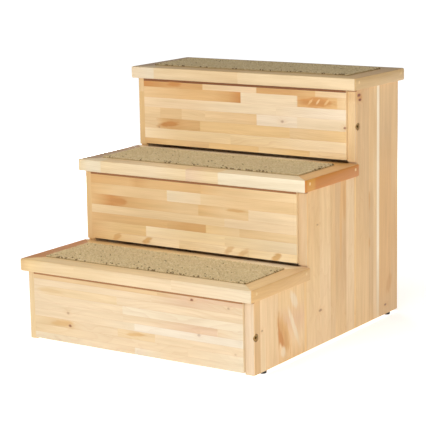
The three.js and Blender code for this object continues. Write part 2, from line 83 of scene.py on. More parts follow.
# Colours of lacquered pine, as sRGB bytes
TONES = {
    "bright": (253, 236, 212),
    "white": (240, 216, 186),
    "ivory": (253, 224, 182),
    "light": (246, 214, 166),
    "cream": (238, 211, 174),
    "pale": (238, 205, 163),
    "straw": (236, 200, 151),
    "corn": (241, 201, 143),
    "sand": (231, 191, 139),
    "tan": (221, 182, 134),
    "pink": (230, 190, 152),
    "honey": (226, 179, 120),
    "amber": (217, 165, 104),
    "rust": (205, 140, 74),
    "copper": (207, 139, 76),
    "umber": (192, 156, 118),
    "resin": (196, 120, 62),
    # The next three tones are painted shade, for the lines under the treads' front edges
    "seam": (176, 120, 72),
    "russet": (156, 102, 58),
    "walnut": (132, 80, 42),
    "knot": (136, 54, 20),
    "heart": (92, 32, 8),
}


# ---- Shader helpers ----

def linear(colour):
    """Linear RGBA of an sRGB byte colour."""
    def one(value):
        value /= 255
        return value / 12.92 if value <= 0.04045 else ((value + 0.055) / 1.055) ** 2.4
    return (*(one(value) for value in colour), 1.0)


def colour_of(tone):
    return linear(TONES[tone])


def operator(operation, swapped=False):
    """A method for wires that adds one Math node."""
    def method(self, *others):
        values = (*others, self) if swapped else (self, *others)
        return self.graph.math(operation, *values)
    return method


class Wire:
    """A node's output. Arithmetic on wires adds Math nodes, so a pattern reads as a formula."""

    def __init__(self, graph, socket):
        self.graph = graph
        self.socket = socket

    __add__ = operator("ADD")
    __radd__ = operator("ADD", swapped=True)
    __sub__ = operator("SUBTRACT")
    __rsub__ = operator("SUBTRACT", swapped=True)
    __mul__ = operator("MULTIPLY")
    __truediv__ = operator("DIVIDE")
    __pow__ = operator("POWER")
    __abs__ = operator("ABSOLUTE")
    below = operator("LESS_THAN")
    above = operator("GREATER_THAN")
    rounded = operator("ROUND")
    fraction = operator("FRACT")

    def between(self, start, end):
        """0 at start and 1 at end, smooth in between."""
        node = self.graph.add("MapRange", {"Value": self, "From Min": start, "From Max": end},
                              interpolation_type="SMOOTHSTEP")
        return Wire(self.graph, node.outputs["Result"])


class Graph:
    """A node tree, with short ways to add nodes to it."""

    def __init__(self, tree):
        self.tree = tree

    def add(self, kind, inputs=None, **settings):
        node = self.tree.nodes.new("ShaderNode" + kind)
        for name, value in settings.items():
            setattr(node, name, value)
        for key, value in (inputs or {}).items():
            self.set(node.inputs[key], value)
        return node

    def set(self, socket, value):
        if isinstance(value, Wire):
            self.tree.links.new(value.socket, socket)
        else:
            socket.default_value = value

    def math(self, operation, *values):
        node = self.add("Math", operation=operation)
        for socket, value in zip(node.inputs, values):
            self.set(socket, value)
        return Wire(self, node.outputs[0])

    def mix(self, factor, base, over, blend="MIX"):
        node = self.add("Mix", data_type="RGBA", blend_type=blend)
        self.set(node.inputs["Factor"], factor)
        for name, value in (("A", base), ("B", over)):
            socket = next(s for s in node.inputs if s.name == name and s.type == "RGBA")
            self.set(socket, value)
        return Wire(self, next(s for s in node.outputs if s.type == "RGBA"))

    def vector(self, x=0.0, y=0.0, z=0.0):
        return Wire(self, self.add("CombineXYZ", {"X": x, "Y": y, "Z": z}).outputs[0])

    def noise(self, vector, detail=2.0):
        node = self.add("TexNoise", {"Vector": vector, "Scale": 1.0, "Detail": detail})
        return Wire(self, node.outputs[0])

    def ramp(self, factor, stops):
        """Colour wire of a colour ramp. The stops are (place, sRGB colour)."""
        node = self.add("ValToRGB", {"Fac": factor})
        elements = node.color_ramp.elements
        while len(elements) < len(stops):
            elements.new(0.5)
        for element, (place, colour) in zip(elements, stops):
            element.position = place
            element.color = linear(colour)
        return Wire(self, node.outputs["Color"])

    def group(self, tree, inputs):
        node = self.add("Group", node_tree=tree)
        for key, value in inputs.items():
            self.set(node.inputs[key], value)
        return {socket.name: Wire(self, socket) for socket in node.outputs}

    def position(self):
        """Place in the object's frame, in millimetres, as x, y and z wires."""
        return self.split(self.add("TexCoord").outputs["Object"], 1 / MM)

    def normal(self):
        return self.split(self.add("TexCoord").outputs["Normal"], 1)

    def split(self, socket, scale):
        node = self.add("SeparateXYZ", {"Vector": Wire(self, socket)})
        return {axis: Wire(self, node.outputs[axis.upper()]) * scale for axis in "xyz"}


def new_material(name):
    """A material with a Principled shader: its graph, its shader node and itself."""
    material = bpy.data.materials.new(name)
    material.use_nodes = True
    graph = Graph(material.node_tree)
    return graph, material.node_tree.nodes["Principled BSDF"], material


def new_group(name, inputs, outputs, build):
    """A node group with float sockets. build(graph, wires) returns the outputs' wires by name."""
    tree = bpy.data.node_groups.new(name, "ShaderNodeTree")
    for socket in inputs:
        tree.interface.new_socket(socket, in_out="INPUT", socket_type="NodeSocketFloat")
    for socket in outputs:
        tree.interface.new_socket(socket, in_out="OUTPUT", socket_type="NodeSocketFloat")
    graph = Graph(tree)
    source = tree.nodes.new("NodeGroupInput")
    sink = tree.nodes.new("NodeGroupOutput")
    made = build(graph, {s.name: Wire(graph, s) for s in source.outputs if s.name})
    for socket in outputs:
        graph.set(sink.inputs[socket], made[socket])
    return tree


def set_surface(graph, shader, colour, roughness, relief=None, depth=0.0):
    """Sets a shader's colour and roughness, and a relief of this depth in mm."""
    graph.set(shader.inputs["Base Color"], colour)
    graph.set(shader.inputs["Roughness"], roughness)
    if relief:
        bump = graph.add("Bump", {"Height": relief, "Distance": depth * MM})
        graph.set(shader.inputs["Normal"], Wire(graph, bump.outputs[0]))


def hypotenuse(one, other):
    return (one ** 2.0 + other ** 2.0) ** 0.5


def speckle(graph, place, scales, detail=2.0):
    """Noise over a place in mm. A scale of 2 makes grains half a millimetre long on that axis."""
    return graph.noise(graph.vector(*(place[axis] * scale for axis, scale in zip("xyz", scales))), detail)


# ---- Shading of the CAD meshes ----

SHARP_ANGLE = math.radians(38)
WELD_DISTANCE = 0.00001


def smooth_shading_tree():
    """Geometry nodes that weld a faceted mesh and shade it smooth up to the sharp angle."""
    tree = bpy.data.node_groups.new("smooth_shading", "GeometryNodeTree")
    tree.interface.new_socket("Geometry", in_out="INPUT", socket_type="NodeSocketGeometry")
    tree.interface.new_socket("Geometry", in_out="OUTPUT", socket_type="NodeSocketGeometry")
    nodes = tree.nodes
    links = tree.links
    source = nodes.new("NodeGroupInput")
    sink = nodes.new("NodeGroupOutput")
    strip = nodes.new("GeometryNodeRemoveAttribute")
    strip.inputs["Name"].default_value = "custom_normal"
    weld = nodes.new("GeometryNodeMergeByDistance")
    weld.inputs["Distance"].default_value = WELD_DISTANCE
    smooth = nodes.new("GeometryNodeSetShadeSmooth")
    smooth.domain = "FACE"
    sharp = nodes.new("GeometryNodeSetShadeSmooth")
    sharp.domain = "EDGE"
    sharp.inputs["Shade Smooth"].default_value = False
    angle = nodes.new("GeometryNodeInputMeshEdgeAngle")
    wide = nodes.new("ShaderNodeMath")
    wide.operation = "GREATER_THAN"
    wide.inputs[1].default_value = SHARP_ANGLE
    chain = (source, strip, weld, smooth, sharp, sink)
    for before, after in zip(chain, chain[1:]):
        links.new(before.outputs[0], after.inputs["Geometry"])
    links.new(angle.outputs[0], wide.inputs[0])
    links.new(wide.outputs[0], sharp.inputs["Selection"])
    return tree


SMOOTH_SHADING = smooth_shading_tree()


def paint(node, material):
    """Puts one material on a CAD node and rounds its shading over the faceted curves."""
    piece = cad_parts[node]
    piece.data.materials.clear()
    piece.data.materials.append(material)
    piece.modifiers.new("smooth_shading", "NODES").node_group = SMOOTH_SHADING


# ---- Wood ----

# Grain of a block of wood, in mm
BLOCK_SHIFT = 900.0         # blocks are moved along by up to this, so that no two look alike
RING_SPACING = 2.7
RING_WOBBLE = 0.5           # in rings
RING_SHARPNESS = 3.0
RING_FAINTEST = 0.35        # of the strongest rings' strength
PITH_SPREAD = 70.0          # width over which the blocks' piths are spread
PITH_NEAREST = 6.0          # least distance of a pith behind its block
PITH_DEPTH = 60.0           # how much further back it may lie
PITH_SLOPE = 0.05
DRIFT_ACROSS = 30.0         # how far a pith wanders across the grain
DRIFT_DEPTH = 34.0          # and in depth
DRIFT_SHIFT = 2250.0        # how far the blocks' drifts and streaks are moved apart
STREAK_SHIFT = 585.0
DRIFT_SIZE = (150.0, 45.0)  # length and width of each pattern's features
WOBBLE_SIZE = (30.0, 6.0)
STREAK_SIZE = (90.0, 6.5)
FIBRE_SIZE = (22.0, 0.8)

# Knots and flames: where each part's edge starts to fade and is gone, in radii from the middle
KNOT_PARTS = {"Core": (0.45, 1.0), "Heart": (0.1, 0.5), "Halo": (0.8, 3.2)}
KNOT_RIPPLE = 0.7
KNOT_RIPPLE_SIZE = 3.0      # mm
FLAME_EDGE = (0.45, 1.1)
FLAME_RIPPLE = 1.1
FLAME_RIPPLE_SIZE = (16.0, 3.5)


def stretched(graph, along, across, depth, size):
    """Vector for a noise whose features have this (length along the grain, width) in mm."""
    length, width = size
    return graph.vector(along / length, across / width, depth / width)


def build_grain(graph, wires):
    """Growth rings round a pith that lies behind each block, slow streaks and fine fibres."""
    along, across, depth = (wires[k] for k in ("Along", "Across", "Depth"))
    dice = graph.add("TexWhiteNoise", {"W": wires["Block"]}, noise_dimensions="1D")
    rolled = graph.add("SeparateColor", {"Color": Wire(graph, dice.outputs["Color"])})
    one, two, three = (Wire(graph, socket) for socket in rolled.outputs)
    shift = along + three * BLOCK_SHIFT
    drift = graph.noise(stretched(graph, shift, across, one * DRIFT_SHIFT, DRIFT_SIZE)) - 0.5
    pith_across = across + (one - 0.5) * PITH_SPREAD + drift * DRIFT_ACROSS
    pith_depth = depth + two * PITH_DEPTH + PITH_NEAREST + drift * DRIFT_DEPTH
    pith_depth = pith_depth + shift * (one - 0.5) * PITH_SLOPE
    wobble = graph.noise(stretched(graph, shift, across, depth, WOBBLE_SIZE))
    turn = (hypotenuse(pith_across, pith_depth) / RING_SPACING + wobble * RING_WOBBLE).fraction()
    streak_place = stretched(graph, shift, across + two * STREAK_SHIFT, depth, STREAK_SIZE)
    return {
        "Rings": turn ** RING_SHARPNESS * (RING_FAINTEST + three * (1.0 - RING_FAINTEST)),
        "Streaks": graph.noise(streak_place, detail=3.0),
        "Fibres": graph.noise(stretched(graph, shift, across, depth, FIBRE_SIZE)),
        "Chance": two,
    }


def build_knot(graph, wires):
    """Core, heart and halo of a knot. Length is its length along the grain for a width of 1."""
    along = (wires["Along"] - wires["At along"]) / (wires["Radius"] * wires["Length"])
    across = (wires["Across"] - wires["At across"]) / wires["Radius"]
    ripple = graph.noise(graph.vector(wires["Along"] / KNOT_RIPPLE_SIZE, wires["Across"] / KNOT_RIPPLE_SIZE))
    reach = hypotenuse(along, across) + (ripple - 0.5) * KNOT_RIPPLE
    return {part: 1.0 - reach.between(*edge) for part, edge in KNOT_PARTS.items()}


def build_flame(graph, wires):
    """A tongue of another tone: a sheared ellipse with a ragged, striped edge."""
    along = wires["Along"] - wires["At along"]
    across = wires["Across"] - wires["At across"] - along * wires["Slope"]
    length, width = FLAME_RIPPLE_SIZE
    ripple = graph.noise(graph.vector(wires["Along"] / length, wires["Across"] / width), detail=3.0) - 0.5
    reach = hypotenuse(along / wires["Half length"], across / wires["Half width"]) + ripple * FLAME_RIPPLE
    return {"Mask": 1.0 - reach.between(*FLAME_EDGE)}


GRAIN = new_group("grain", ("Along", "Across", "Depth", "Block"),
                  ("Rings", "Streaks", "Fibres", "Chance"), build_grain)
KNOT = new_group("knot", ("Along", "Across", "At along", "At across", "Radius", "Length"),
                 ("Core", "Heart", "Halo"), build_knot)
FLAME = new_group("flame",
                  ("Along", "Across", "At along", "At across", "Half length", "Half width", "Slope"),
                  ("Mask",), build_flame)

PLAIN = (1.0, 1.0, 1.0)
BLOCKS_PER_ROW = 16
JOINT_STEP = 0.05           # mm over which the tone changes at a joint
GLUE_LINE = 0.16            # half width in mm


def read_blocks(text):
    """Blocks of one stave, from 'tone place, tone place | tone place'. A bar is a glued joint, and a
    place is in mm along the stave. A block starts at its first tone's place."""
    blocks = []
    for part in text.split("|"):
        words = [entry.split() for entry in part.split(",")]
        blocks.append([(float(place), tone) for tone, place in words])
    return blocks


def block_stops(blocks, end):
    """Ramp stops (mm, tone) of a stave's blocks, each of which keeps its last tone up to the next joint."""
    stops = []
    for index, block in enumerate(blocks):
        last = index + 1 == len(blocks)
        finish = end if last else blocks[index + 1][0][0] - JOINT_STEP
        stops += block
        last_place, last_tone = block[-1]
        if last_place < finish:
            stops.append((finish, last_tone))
    return stops


def stave_pattern(graph, along, across, rows):
    """Colour, block number and glue lines of a board glued up from rows of (upper edge in mm, blocks)."""
    starts = [blocks[0][0][0] for _, blocks in rows]
    ends = [blocks[-1][-1][0] for _, blocks in rows]
    start, end = min(starts), max(ends)
    factor = (along - start) / (end - start)
    colour = number = None
    glue = 0.0
    for row, (edge, blocks) in reversed(list(enumerate(rows))):
        stops = [((place - start) / (end - start), TONES[tone]) for place, tone in block_stops(blocks, end)]
        row_colour = graph.ramp(factor, stops)
        row_number = row * BLOCKS_PER_ROW + along.above(start - 1)
        for block in blocks[1:]:
            row_number = row_number + along.above(block[0][0])
        if colour is None:
            colour, number = row_colour, row_number
            continue
        inside = across.below(edge)
        colour = graph.mix(inside, colour, row_colour)
        number = number + (row_number - number) * inside
        glue = abs(across - edge).below(GLUE_LINE) + glue
    return colour, number, glue


KNOT_LENGTH = 1.35          # along the grain, for a width of 1
KNOT_BEND = 1.2             # how far the grain bends round a knot, in its radii
KNOT_LAYERS = (("Halo", 0.35, "amber"), ("Core", 0.9, "knot"), ("Heart", 0.7, "heart"))
STREAK_STRENGTH = 0.30
FIBRE_STRENGTH = 0.10
CHANCE_STRENGTH = 0.03      # of the difference between whole blocks
SHADE_SHARES = (1.0, 1.25, 1.7)     # of that shading in red, green and blue
RING_STRENGTH = 0.16
GLUE_STRENGTH = 0.30
END_FACE = (0.55, 0.85)     # how far a face has to point along the grain to show none and all of its end
TOP_FACE = (0.5, 0.8)       # and up or forward, for the top's and the front's painted light tint
FRONT_FACE = (-0.4, -0.8)


def add_flames(graph, colour, where, flames):
    for at_along, at_across, half_length, half_width, slope, tone in flames:
        flame = graph.group(FLAME, {
            **where, "At along": at_along, "At across": at_across,
            "Half length": half_length, "Half width": half_width, "Slope": slope,
        })
        colour = graph.mix(flame["Mask"], colour, colour_of(tone))
    return colour


def place_knots(graph, where, knots, length):
    """(knot, strength) of every knot, and how far they push the grain aside in mm."""
    bend = 0.0
    placed = []
    for at_along, at_across, radius, strength in knots:
        knot = graph.group(KNOT, {
            **where, "At along": at_along, "At across": at_across, "Radius": radius, "Length": length,
        })
        placed.append((knot, strength))
        bend = knot["Halo"] * (radius * KNOT_BEND) + bend
    return placed, bend


def add_grain(graph, colour, grain):
    shade = (grain["Streaks"] - 0.5) * STREAK_STRENGTH + (grain["Fibres"] - 0.5) * FIBRE_STRENGTH
    shade = shade + (grain["Chance"] - 0.5) * CHANCE_STRENGTH
    shading = graph.vector(*(1.0 + shade * share for share in SHADE_SHARES))
    colour = graph.mix(1.0, colour, shading, "MULTIPLY")
    return graph.mix(grain["Rings"] * RING_STRENGTH, colour, colour_of("resin"))


# Painted light: the tops and the fronts of a board take tints of their own, by the way they face
def tint_and_light_faces(graph, colour, normal, tint, top_light_tint, front_light_tint):
    face_tint = graph.mix(normal["z"].between(*TOP_FACE), (*tint, 1.0), (*(top_light_tint or tint), 1.0))
    if front_light_tint:
        face_tint = graph.mix(normal["y"].between(*FRONT_FACE), face_tint, (*front_light_tint, 1.0))
    return graph.mix(1.0, colour, face_tint, "MULTIPLY")


def lacquer(graph, shader, colour, grain, end_grain):
    """Satin sheen that is duller on the end grain, over a fine relief."""
    roughness = 0.38 + (grain["Fibres"] - 0.5) * 0.2 + end_grain * 0.2
    set_surface(graph, shader, colour, roughness, grain["Fibres"] * 0.6 - grain["Rings"] * 0.4, 0.06)
    shader.inputs["Specular IOR Level"].default_value = 0.35
    shader.inputs["Coat Weight"].default_value = 0.08
    shader.inputs["Coat Roughness"].default_value = 0.22


def pine(name, along, across, rows, knots=(), flames=(), tint=PLAIN, top_light_tint=None, front_light_tint=None,
         knot_length=KNOT_LENGTH, end_tone="amber", end_share=0.2):
    """Lacquered pine board. along and across name the axes of its grain and of its rows of staves. knots
    are (along, across, radius, strength) and flames (along, across, half length, half width, slope, tone).
    tint multiplies the board's colour, and the top's and front's tints, painted light, replace it on those
    faces.
    end_share says how far the end grain's colour goes towards end_tone; on the risers that is painted light."""
    graph, shader, material = new_material(name)
    place = graph.position()
    normal = graph.normal()
    where = {"Along": place[along], "Across": place[across]}
    depth = place[next(axis for axis in "xyz" if axis not in (along, across))]
    rows = [(edge, read_blocks(blocks)) for edge, blocks in rows]
    colour, number, glue = stave_pattern(graph, where["Along"], where["Across"], rows)
    colour = add_flames(graph, colour, where, flames)
    placed_knots, bend = place_knots(graph, where, knots, knot_length)
    first_number = random.Random(name).randrange(1000)
    grain = graph.group(GRAIN, {
        "Along": where["Along"], "Across": where["Across"] + bend, "Depth": depth,
        "Block": number.rounded() + first_number,
    })
    colour = add_grain(graph, colour, grain)
    for knot, strength in placed_knots:
        for part, share, tone in KNOT_LAYERS:
            colour = graph.mix(knot[part] * (share * strength), colour, colour_of(tone))
    colour = graph.mix(glue * GLUE_STRENGTH, colour, colour_of("resin"))
    end_grain = abs(normal[along]).between(*END_FACE)
    colour = graph.mix(end_grain * end_share, colour, colour_of(end_tone))
    colour = tint_and_light_faces(graph, colour, normal, tint, top_light_tint, front_light_tint)
    lacquer(graph, shader, colour, grain, end_grain)
    return material


# Staves of the risers, from the bottom row up: (upper edge in mm, blocks along the board)
RISER_REACH = 181           # mm from the middle to the ends of the blocks
RISER_STAVES = {
    "upper": (
        # Painted light: the two lowest rows are toned lighter, for the light that the tread below throws up
        (266, "honey -181, corn -135, sand -90 | corn -60 | light 30, corn 90 | light 120"),
        (282.3, "ivory -181, light -120 | light -20, light 50, ivory 100 | ivory 135"),
        (298.5, "straw -181, straw -158, honey -146, amber -130, honey -100 | corn -75 "
                "| straw 85, corn 181"),
        (315, "straw -181 | sand -150 | straw -110 | straw -66, sand 26 | white 27 | cream 98"),
        (330.5, "pale -181, pale -90, cream -20 | cream 62, white 120"),
        (347, "sand -181, honey -90, honey -50, amber -22, rust -2 | cream -1 | amber 99, honey 165 "
              "| sand 166, straw 181"),
        (360, "rust -181, amber -120 | straw -70, pale -10 | amber 28, amber 85, honey 115 "
              "| straw 130, pale 181"),
    ),
    "middle": (
        # Painted light: the two lowest rows are toned lighter, for the light that the tread below throws up
        (143, "honey -181, corn -150, ivory -60 | light -20, ivory 55 | ivory 60, light 100 "
              "| light 101, ivory 147, light 181"),
        (159, "honey -181, corn -145 | ivory -80, light 0 | light 60, cream 181"),
        (171, "honey -181 | honey -41, amber -5 | corn 27, straw 80 | sand 85, straw 181"),
        (184, "straw -181 | pale 60"),
        (200, "honey -181, rust -142, amber -118, honey -80, sand -20 | honey 15, sand 60 | pale 101"),
        (216.5, "honey -181, sand -130 | cream -40, pale 17 | straw 19, sand 80"),
        (234, "amber -181, honey -110, amber -95, honey -70 | honey 20, sand 60, straw 181"),
    ),
    "lower": (
        (18, "cream -181, pale -10 | white 0, cream 26, pale 60, cream 181"),
        (30, "straw -181, pale -60 | pale 90, cream 181"),
        (42, "straw -181, sand -135, pale -90 | straw -30 | pale 35"),
        (53, "pale -181, pale -60, cream -2 | white 0"),
        (64, "pale -181 | pale -20, pale 20, pink 100 | pale 140, cream 181"),
        (76, "pale -181 | cream -20"),
        (88, "pale -181, straw -150 | pale -30"),
        (98, "pale -181 | pale 30, pink 90, pale 181"),
        (108, "sand -181 | sand 40, pink 90"),
    ),
}
RISER_KNOTS = {
    "upper": ((72.5, 307, 3, 0.35), (179, 304, 2.6, 0.75), (-153, 284, 2, 0.3)),
    "middle": (),
    "lower": ((98, 99.5, 2.6, 0.8), (158, 95, 2.4, 0.3), (-119, 52.5, 2.8, 0.35), (-116, 34, 2.8, 0.75),
              (109, 51, 2.8, 0.3), (168, 32, 2.2, 0.2)),
}
RISER_FLAMES = {
    "upper": (
        (-134, 290, 24, 5, 0.12, "rust"), (131, 339, 34, 9, 0, "rust"), (121, 339, 5, 3, 0.9, "honey"),
        (134, 340, 4, 3, 0.9, "sand"), (149, 340, 5, 3, 0.9, "honey"), (-122, 353, 16, 5, 0, "rust"),
    ),
    "middle": (
        (-129, 192, 18, 6, 0, "rust"), (0, 165, 26, 5, 0, "amber"), (-134, 137, 9, 6, 0.4, "honey"),
        (-78, 137, 10, 6, 0.4, "honey"), (67, 138, 10, 6, 0.5, "sand"), (92, 137, 11, 6, 0.5, "sand"),
        (147, 136, 10, 7, 0.5, "honey"), (80, 197, 22, 2.5, 0, "amber"),
    ),
    "lower": ((-130, 36, 24, 5, 0.1, "honey"), (2, 37, 20, 3, 0.1, "honey"), (-150, 82, 30, 4, 0, "sand")),
}

# The right side panel, front to back: (rear edge in mm, blocks up the panel)
SIDE_STAVES = (
    (-206, "pale 5"),
    (-192, "tan 5, tan 60, sand 108"),
    (-178, "cream 5, pale 66, cream 360"),
    (-145, "pale 5"),
    (-75, "sand 5, pale 30, pink 60, straw 85"),
    (-69, "corn 5, straw 360"),
    (-31, "pale 5, straw 110, sand 190"),
    (0, "pale 5, pale 110, straw 190"),
    (14, "pale 5, sand 90"),
    (30, "straw 5, tan 90"),
    (46, "straw 5, tan 90, tan 165, honey 200"),
    (70, "pale 5"),
    (76, "corn 5"),
    (100, "straw 5, sand 130, tan 250"),
    (115, "straw 5, sand 130, tan 200"),
    (129, "sand 5, tan 40, tan 190, sand 220"),
    (140, "pale 5, straw 110, straw 250, sand 300, straw 360"),
    (148, "cream 5, white 40, bright 110"),
    (186, "tan 5, honey 60, honey 220, tan 290, sand 360"),
    (210, "tan 5, honey 130, sand 280"),
)
SIDE_KNOTS = ((351.5, 85, 6.5, 1.0), (344.5, 87.5, 5.4, 1.0), (20, 168, 5, 0.7), (182, -37, 4, 0.35),
              (56, -30, 6, 0.5), (63, -187, 4, 0.35))
SIDE_KNOT_LENGTH = 0.5
SIDE_FLAMES = (
    (48, -131, 36, 15, -0.5, "honey"), (42, -132, 28, 12, -0.5, "amber"), (40, -138, 17, 7, -0.4, "rust"),
    (50, -104, 36, 6, -0.5, "white"), (88, -103, 16, 10, -0.5, "white"), (20, -133, 9, 7, 0, "white"),
    (50, -144, 34, 1.6, 0, "rust"), (348, 87, 7, 7, 0, "rust"),
    # painted shade: short dark lines at the top of the panel's front edges, under the treads
    (359, 76, 2.5, 4, 0, "russet"), (233, -66, 2.5, 4, 0, "russet"), (107, -208, 2.5, 4, 0, "seam"),
    (165, 30, 62, 4, 0, "honey"),
    (200, 40, 34, 4, 0, "amber"), (190, 117, 20, 2.5, 0, "amber"), (128, 117, 10, 2.5, 0, "amber"),
    (52, 180, 18, 10, 0.3, "amber"),
)

# Boards of the treads' frames: blocks along each board, and its flames
FRAME_BLOCKS = {
    "tread_upper_front": "pale -200, cream -165 | straw -155, sand -5 | straw 0, straw 200",
    "tread_upper_rear": "pale -200, straw 200",
    "tread_upper_left": "umber 60, umber 225",
    "tread_upper_right": "sand 60, tan 225",
    "tread_middle_front": "straw -200, cream -180 | straw -155, pale -60, straw -5 "
                          "| pink 0, straw 40 | cream 55, cream 200",
    # Partly painted light: the bright tones light the strip that lies in the riser's shade by the slot
    "tread_middle_rear": "bright -200, bright 100, honey 160, amber 200",
    "tread_middle_left": "umber -80, umber 80",
    "tread_middle_right": "honey -80, amber 80",
    "tread_lower_front": "honey -200, corn -180, straw -150 | straw -100, pale 60 | pale 70, cream 200",
    # Partly painted light: the bright tones light the strip that lies in the riser's shade by the slot
    "tread_lower_rear": "corn -200, light 0, bright 150, straw 200",
    "tread_lower_left": "copper -222, copper -60",
    "tread_lower_right": "corn -222, sand -60",
}
FRAME_FLAMES = {
    "tread_middle_right": ((15, 200, 60, 3, 0, "rust"), (-62, 200, 15, 3, 0, "amber"),
                           (-30, 200, 16, 2.5, 0, "rust")),
}
# Partly the boards' own colour and partly painted light: the front boards' paler, cooler fronts are painted
# sheen, and the tops' tints paint shade on the upper tread and light on the lower
FRAME_TONE_AND_LIGHT_TINTS = {             # of a board's sides and ends, then of its top
    "tread_upper_front": ((0.89, 0.98, 1.08), (0.73, 0.72, 0.63)),
    "tread_upper_rear": (PLAIN, (0.60, 0.59, 0.50)),
    "tread_upper_left": (PLAIN, (0.78, 0.78, 0.72)),
    "tread_upper_right": ((0.92, 0.93, 0.80), (0.78, 0.78, 0.72)),
    "tread_middle_front": ((0.92, 1.03, 1.11), (0.98, 1.01, 0.97)),
    "tread_middle_rear": (PLAIN, (0.98, 0.96, 0.82)),
    "tread_middle_right": ((0.98, 0.82, 0.32), PLAIN),
    "tread_lower_front": ((0.87, 0.94, 0.99), (1.04, 1.08, 1.04)),
    "tread_lower_rear": (PLAIN, (1.0, 0.98, 0.88)),
    "tread_lower_right": ((0.98, 1.0, 0.92), PLAIN),
}
# Tones of the outer faces that differ from the rest of their board
FACE_SHADES = {"tread_upper_right": "tan", "tread_middle_right": "copper", "tread_lower_right": "honey"}
FACE_SHADE_DEPTH = 1.2      # mm that this tone reaches into the board
PAST_EDGE = 1               # mm that a board's last row is taken past its edge

# Boards with made-up staves: extents in mm, knots and flames
SIDE_SPAN = (-210, 210)     # front to rear
SIDE_RUN = (5, 360)         # bottom to top
LEFT_KNOTS = ((120, -120, 2.4, 0.8), (300, 130, 2.8, 0.9), (60, 60, 2.0, 0.4))
LEFT_FLAMES = ((70, -150, 30, 8, 0.2, "amber"), (240, 20, 40, 7, -0.1, "honey"))
BACK_SPAN = (8, 360)
BACK_RUN = (-187, 187)
BACK_KNOTS = ((40, 150, 2.6, 0.8), (-120, 290, 2.2, 0.6))
BACK_FLAMES = ((-60, 90, 40, 7, 0.05, "amber"), (90, 250, 30, 6, 0.1, "honey"))
STAVE_WIDTHS = (16, 40)
BLOCK_LENGTHS = (120, 320)
FIRST_JOINTS = (0, 120)     # how far before the board's end its first block may start
SECOND_TONE_PLACE = 0.6     # of a block's length
STAVE_TONES = ("pale", "straw", "pale", "straw", "sand", "cream", "tan", "honey")


def made_up_staves(name, span, run):
    """Made-up rows of staves, the same each run, for a board that isn't seen."""
    chance = random.Random(name)
    start, end = run
    edge, last_edge = span
    rows = []
    while edge < last_edge:
        edge += chance.uniform(*STAVE_WIDTHS)
        blocks = []
        joint = start - chance.uniform(*FIRST_JOINTS)
        while joint < end:
            place = max(joint, start)
            tone = chance.choice(STAVE_TONES)
            near = chance.choice(("sand", "straw", tone, tone))
            length = chance.uniform(*BLOCK_LENGTHS)
            second_place = place + SECOND_TONE_PLACE * min(length, end - place)
            blocks.append(f"{tone} {place:.0f}, {near} {second_place:.0f}")
            joint += length
        rows.append((edge, "|".join(blocks)))
    return rows


SHADE_LINE_HEIGHT = 4.0           # painted shade: the darker strip along each riser's top, under each tread's front edge
SHADE_LINE_TONES = {"upper": "walnut", "middle": "russet", "lower": "seam"}
# Partly each riser's own colour and partly painted sheen, the lower riser paler and cooler than its light
# makes it
RISER_TINTS = {"upper": (0.97, 1.01, 1.01), "middle": (0.96, 1.03, 1.05), "lower": (0.86, 0.93, 0.99)}
# Painted light: the risers' end faces, a thin strip beside the side panels, are toned light against the
# shade there
RISER_END_LIGHT_TONE = "light"
RISER_END_LIGHT_SHARE = 0.7
# Partly painted light: the side panel warmer than its light makes it, and the panels' fronts tinted apart,
# the left darker and the right paler
SIDE_TINT = (1.0, 0.97, 0.86)
SIDE_FRONT_LIGHT_TINTS = {"left": (0.87, 0.84, 0.70), "right": (0.85, 0.90, 0.99)}


def one_block(start, end, tone, end_tone=None):
    """Text of a single block between two places in mm."""
    return f"{tone} {start:.0f}, {end_tone or tone} {end:.0f}"


def colour_riser(step):
    """One riser, with a painted shade line along its top, under the tread's front edge."""
    board = f"riser_{step}"
    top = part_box(board)[1].z / MM
    *staves, (_, top_stave) = RISER_STAVES[step]
    seam = one_block(-RISER_REACH, RISER_REACH, SHADE_LINE_TONES[step])
    staves += [(top - SHADE_LINE_HEIGHT, top_stave), (top + PAST_EDGE, seam)]
    paint(board, pine(f"pine_{board}", "x", "z", staves, RISER_KNOTS[step], RISER_FLAMES[step],
                      RISER_TINTS[step], end_tone=RISER_END_LIGHT_TONE, end_share=RISER_END_LIGHT_SHARE))


def colour_frames():
    """The boards of the treads' frames."""
    for board, blocks in FRAME_BLOCKS.items():
        low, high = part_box(board)
        along, across = ("x", "y") if board.endswith(("front", "rear")) else ("y", "x")
        edge = high["xyz".index(across)] / MM
        rows = [(edge + PAST_EDGE, blocks)]
        if board in FACE_SHADES:
            face = one_block(low.y / MM, high.y / MM, FACE_SHADES[board])
            rows = [(edge - FACE_SHADE_DEPTH, blocks), (edge + PAST_EDGE, face)]
        tint, top_light_tint = FRAME_TONE_AND_LIGHT_TINTS.get(board, (PLAIN, PLAIN))
        paint(board, pine(f"pine_{board}", along, across, rows, flames=FRAME_FLAMES.get(board, ()),
                          tint=tint, top_light_tint=top_light_tint))


def colour_cleats(step):
    for side in SIDES:
        board = f"cleat_{step}_{side}"
        low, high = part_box(board)
        rows = [(high.x / MM + PAST_EDGE, one_block(low.y / MM, high.y / MM, "sand", "straw"))]
        paint(board, pine(f"pine_{board}", "y", "x", rows))


